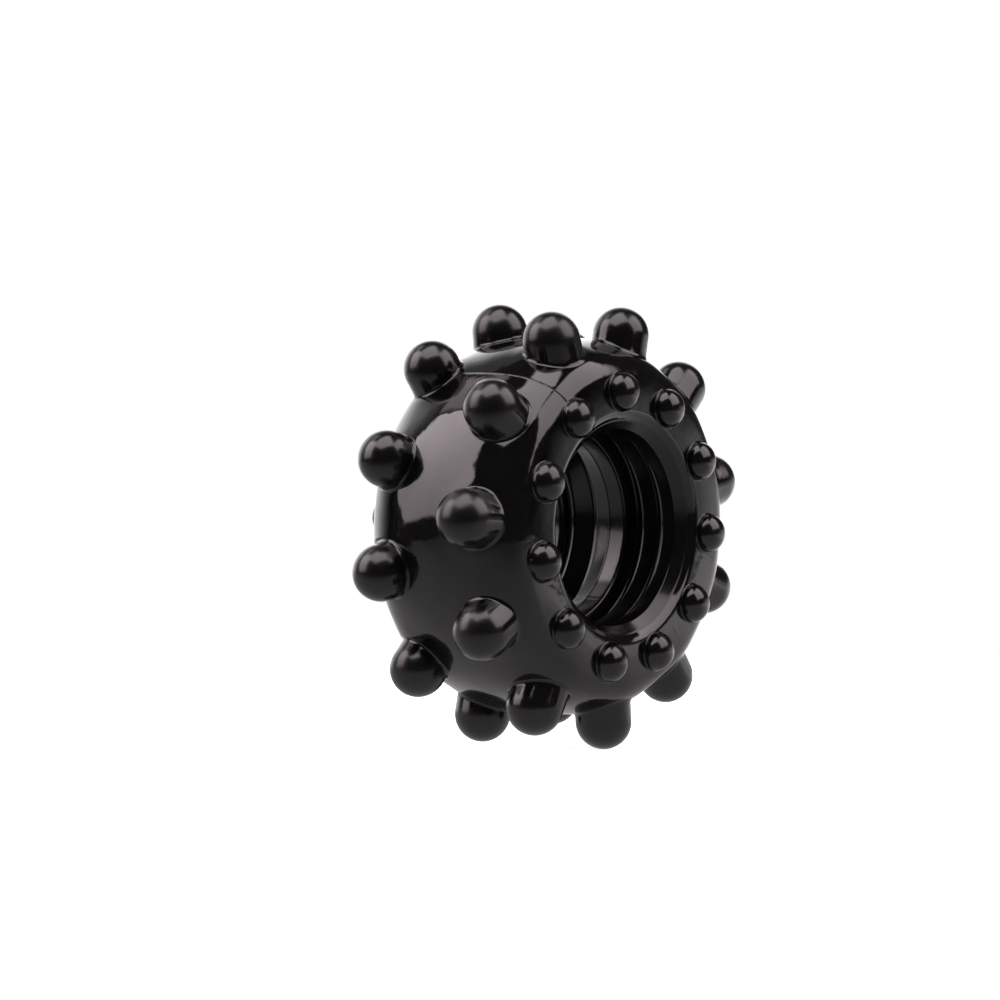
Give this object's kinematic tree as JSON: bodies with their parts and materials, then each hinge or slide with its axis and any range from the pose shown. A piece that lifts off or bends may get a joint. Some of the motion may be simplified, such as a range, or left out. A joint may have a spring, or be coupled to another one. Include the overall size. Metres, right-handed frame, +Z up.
{
  "type": "studded elastomer ring",
  "caption": "Soft black ring with a barrel-shaped body, a ribbed bore with bevelled mouths, staggered rows of domed nubs round the outside and smaller nubs on each face.",
  "frame": {"origin": "on the bore's axis, half way between the two faces", "axes": "+Y along the bore's axis, from the front face to the rear face; -Y is the way out of the front mouth; +Z up with the ring standing on its crown nubs; +X to the right seen from the front"},
  "size_m": [0.0484, 0.0248, 0.0482],
  "materials": {
    "ring_body": "glossy moulded elastomer, slightly wavy",
    "bore_ribs": "glossy moulded elastomer, slightly satin in the grooves",
    "crown_nubs": "glossy moulded elastomer",
    "face_nubs": "glossy moulded elastomer"
  },
  "bodies": {
    "root": {"centre_rib": "bore_ribs", "front_crown_nub_01": "crown_nubs", "front_crown_nub_02": "crown_nubs", "front_crown_nub_03": "crown_nubs", "front_crown_nub_04": "crown_nubs", "front_crown_nub_05": "crown_nubs", "front_crown_nub_06": "crown_nubs", "front_crown_nub_07": "crown_nubs", "front_crown_nub_08": "crown_nubs", "front_crown_nub_09": "crown_nubs", "front_crown_nub_10": "crown_nubs", "front_crown_nub_11": "crown_nubs", "front_face_nub_01": "face_nubs", "front_face_nub_02": "face_nubs", "front_face_nub_03": "face_nubs", "front_face_nub_04": "face_nubs", "front_face_nub_05": "face_nubs", "front_face_nub_06": "face_nubs", "front_face_nub_07": "face_nubs", "front_face_nub_08": "face_nubs", "front_face_nub_09": "face_nubs", "front_face_nub_10": "face_nubs", "front_face_nub_11": "face_nubs", "front_lip": "bore_ribs", "front_rib": "bore_ribs", "rear_crown_nub_01": "crown_nubs", "rear_crown_nub_02": "crown_nubs", "rear_crown_nub_03": "crown_nubs", "rear_crown_nub_04": "crown_nubs", "rear_crown_nub_05": "crown_nubs", "rear_crown_nub_06": "crown_nubs", "rear_crown_nub_07": "crown_nubs", "rear_crown_nub_08": "crown_nubs", "rear_crown_nub_09": "crown_nubs", "rear_crown_nub_10": "crown_nubs", "rear_crown_nub_11": "crown_nubs", "rear_face_nub_01": "face_nubs", "rear_face_nub_02": "face_nubs", "rear_face_nub_03": "face_nubs", "rear_face_nub_04": "face_nubs", "rear_face_nub_05": "face_nubs", "rear_face_nub_06": "face_nubs", "rear_face_nub_07": "face_nubs", "rear_face_nub_08": "face_nubs", "rear_face_nub_09": "face_nubs", "rear_face_nub_10": "face_nubs", "rear_face_nub_11": "face_nubs", "rear_lip": "bore_ribs", "rear_rib": "bore_ribs", "ring_body": "ring_body"}
  },
  "joints": []
}
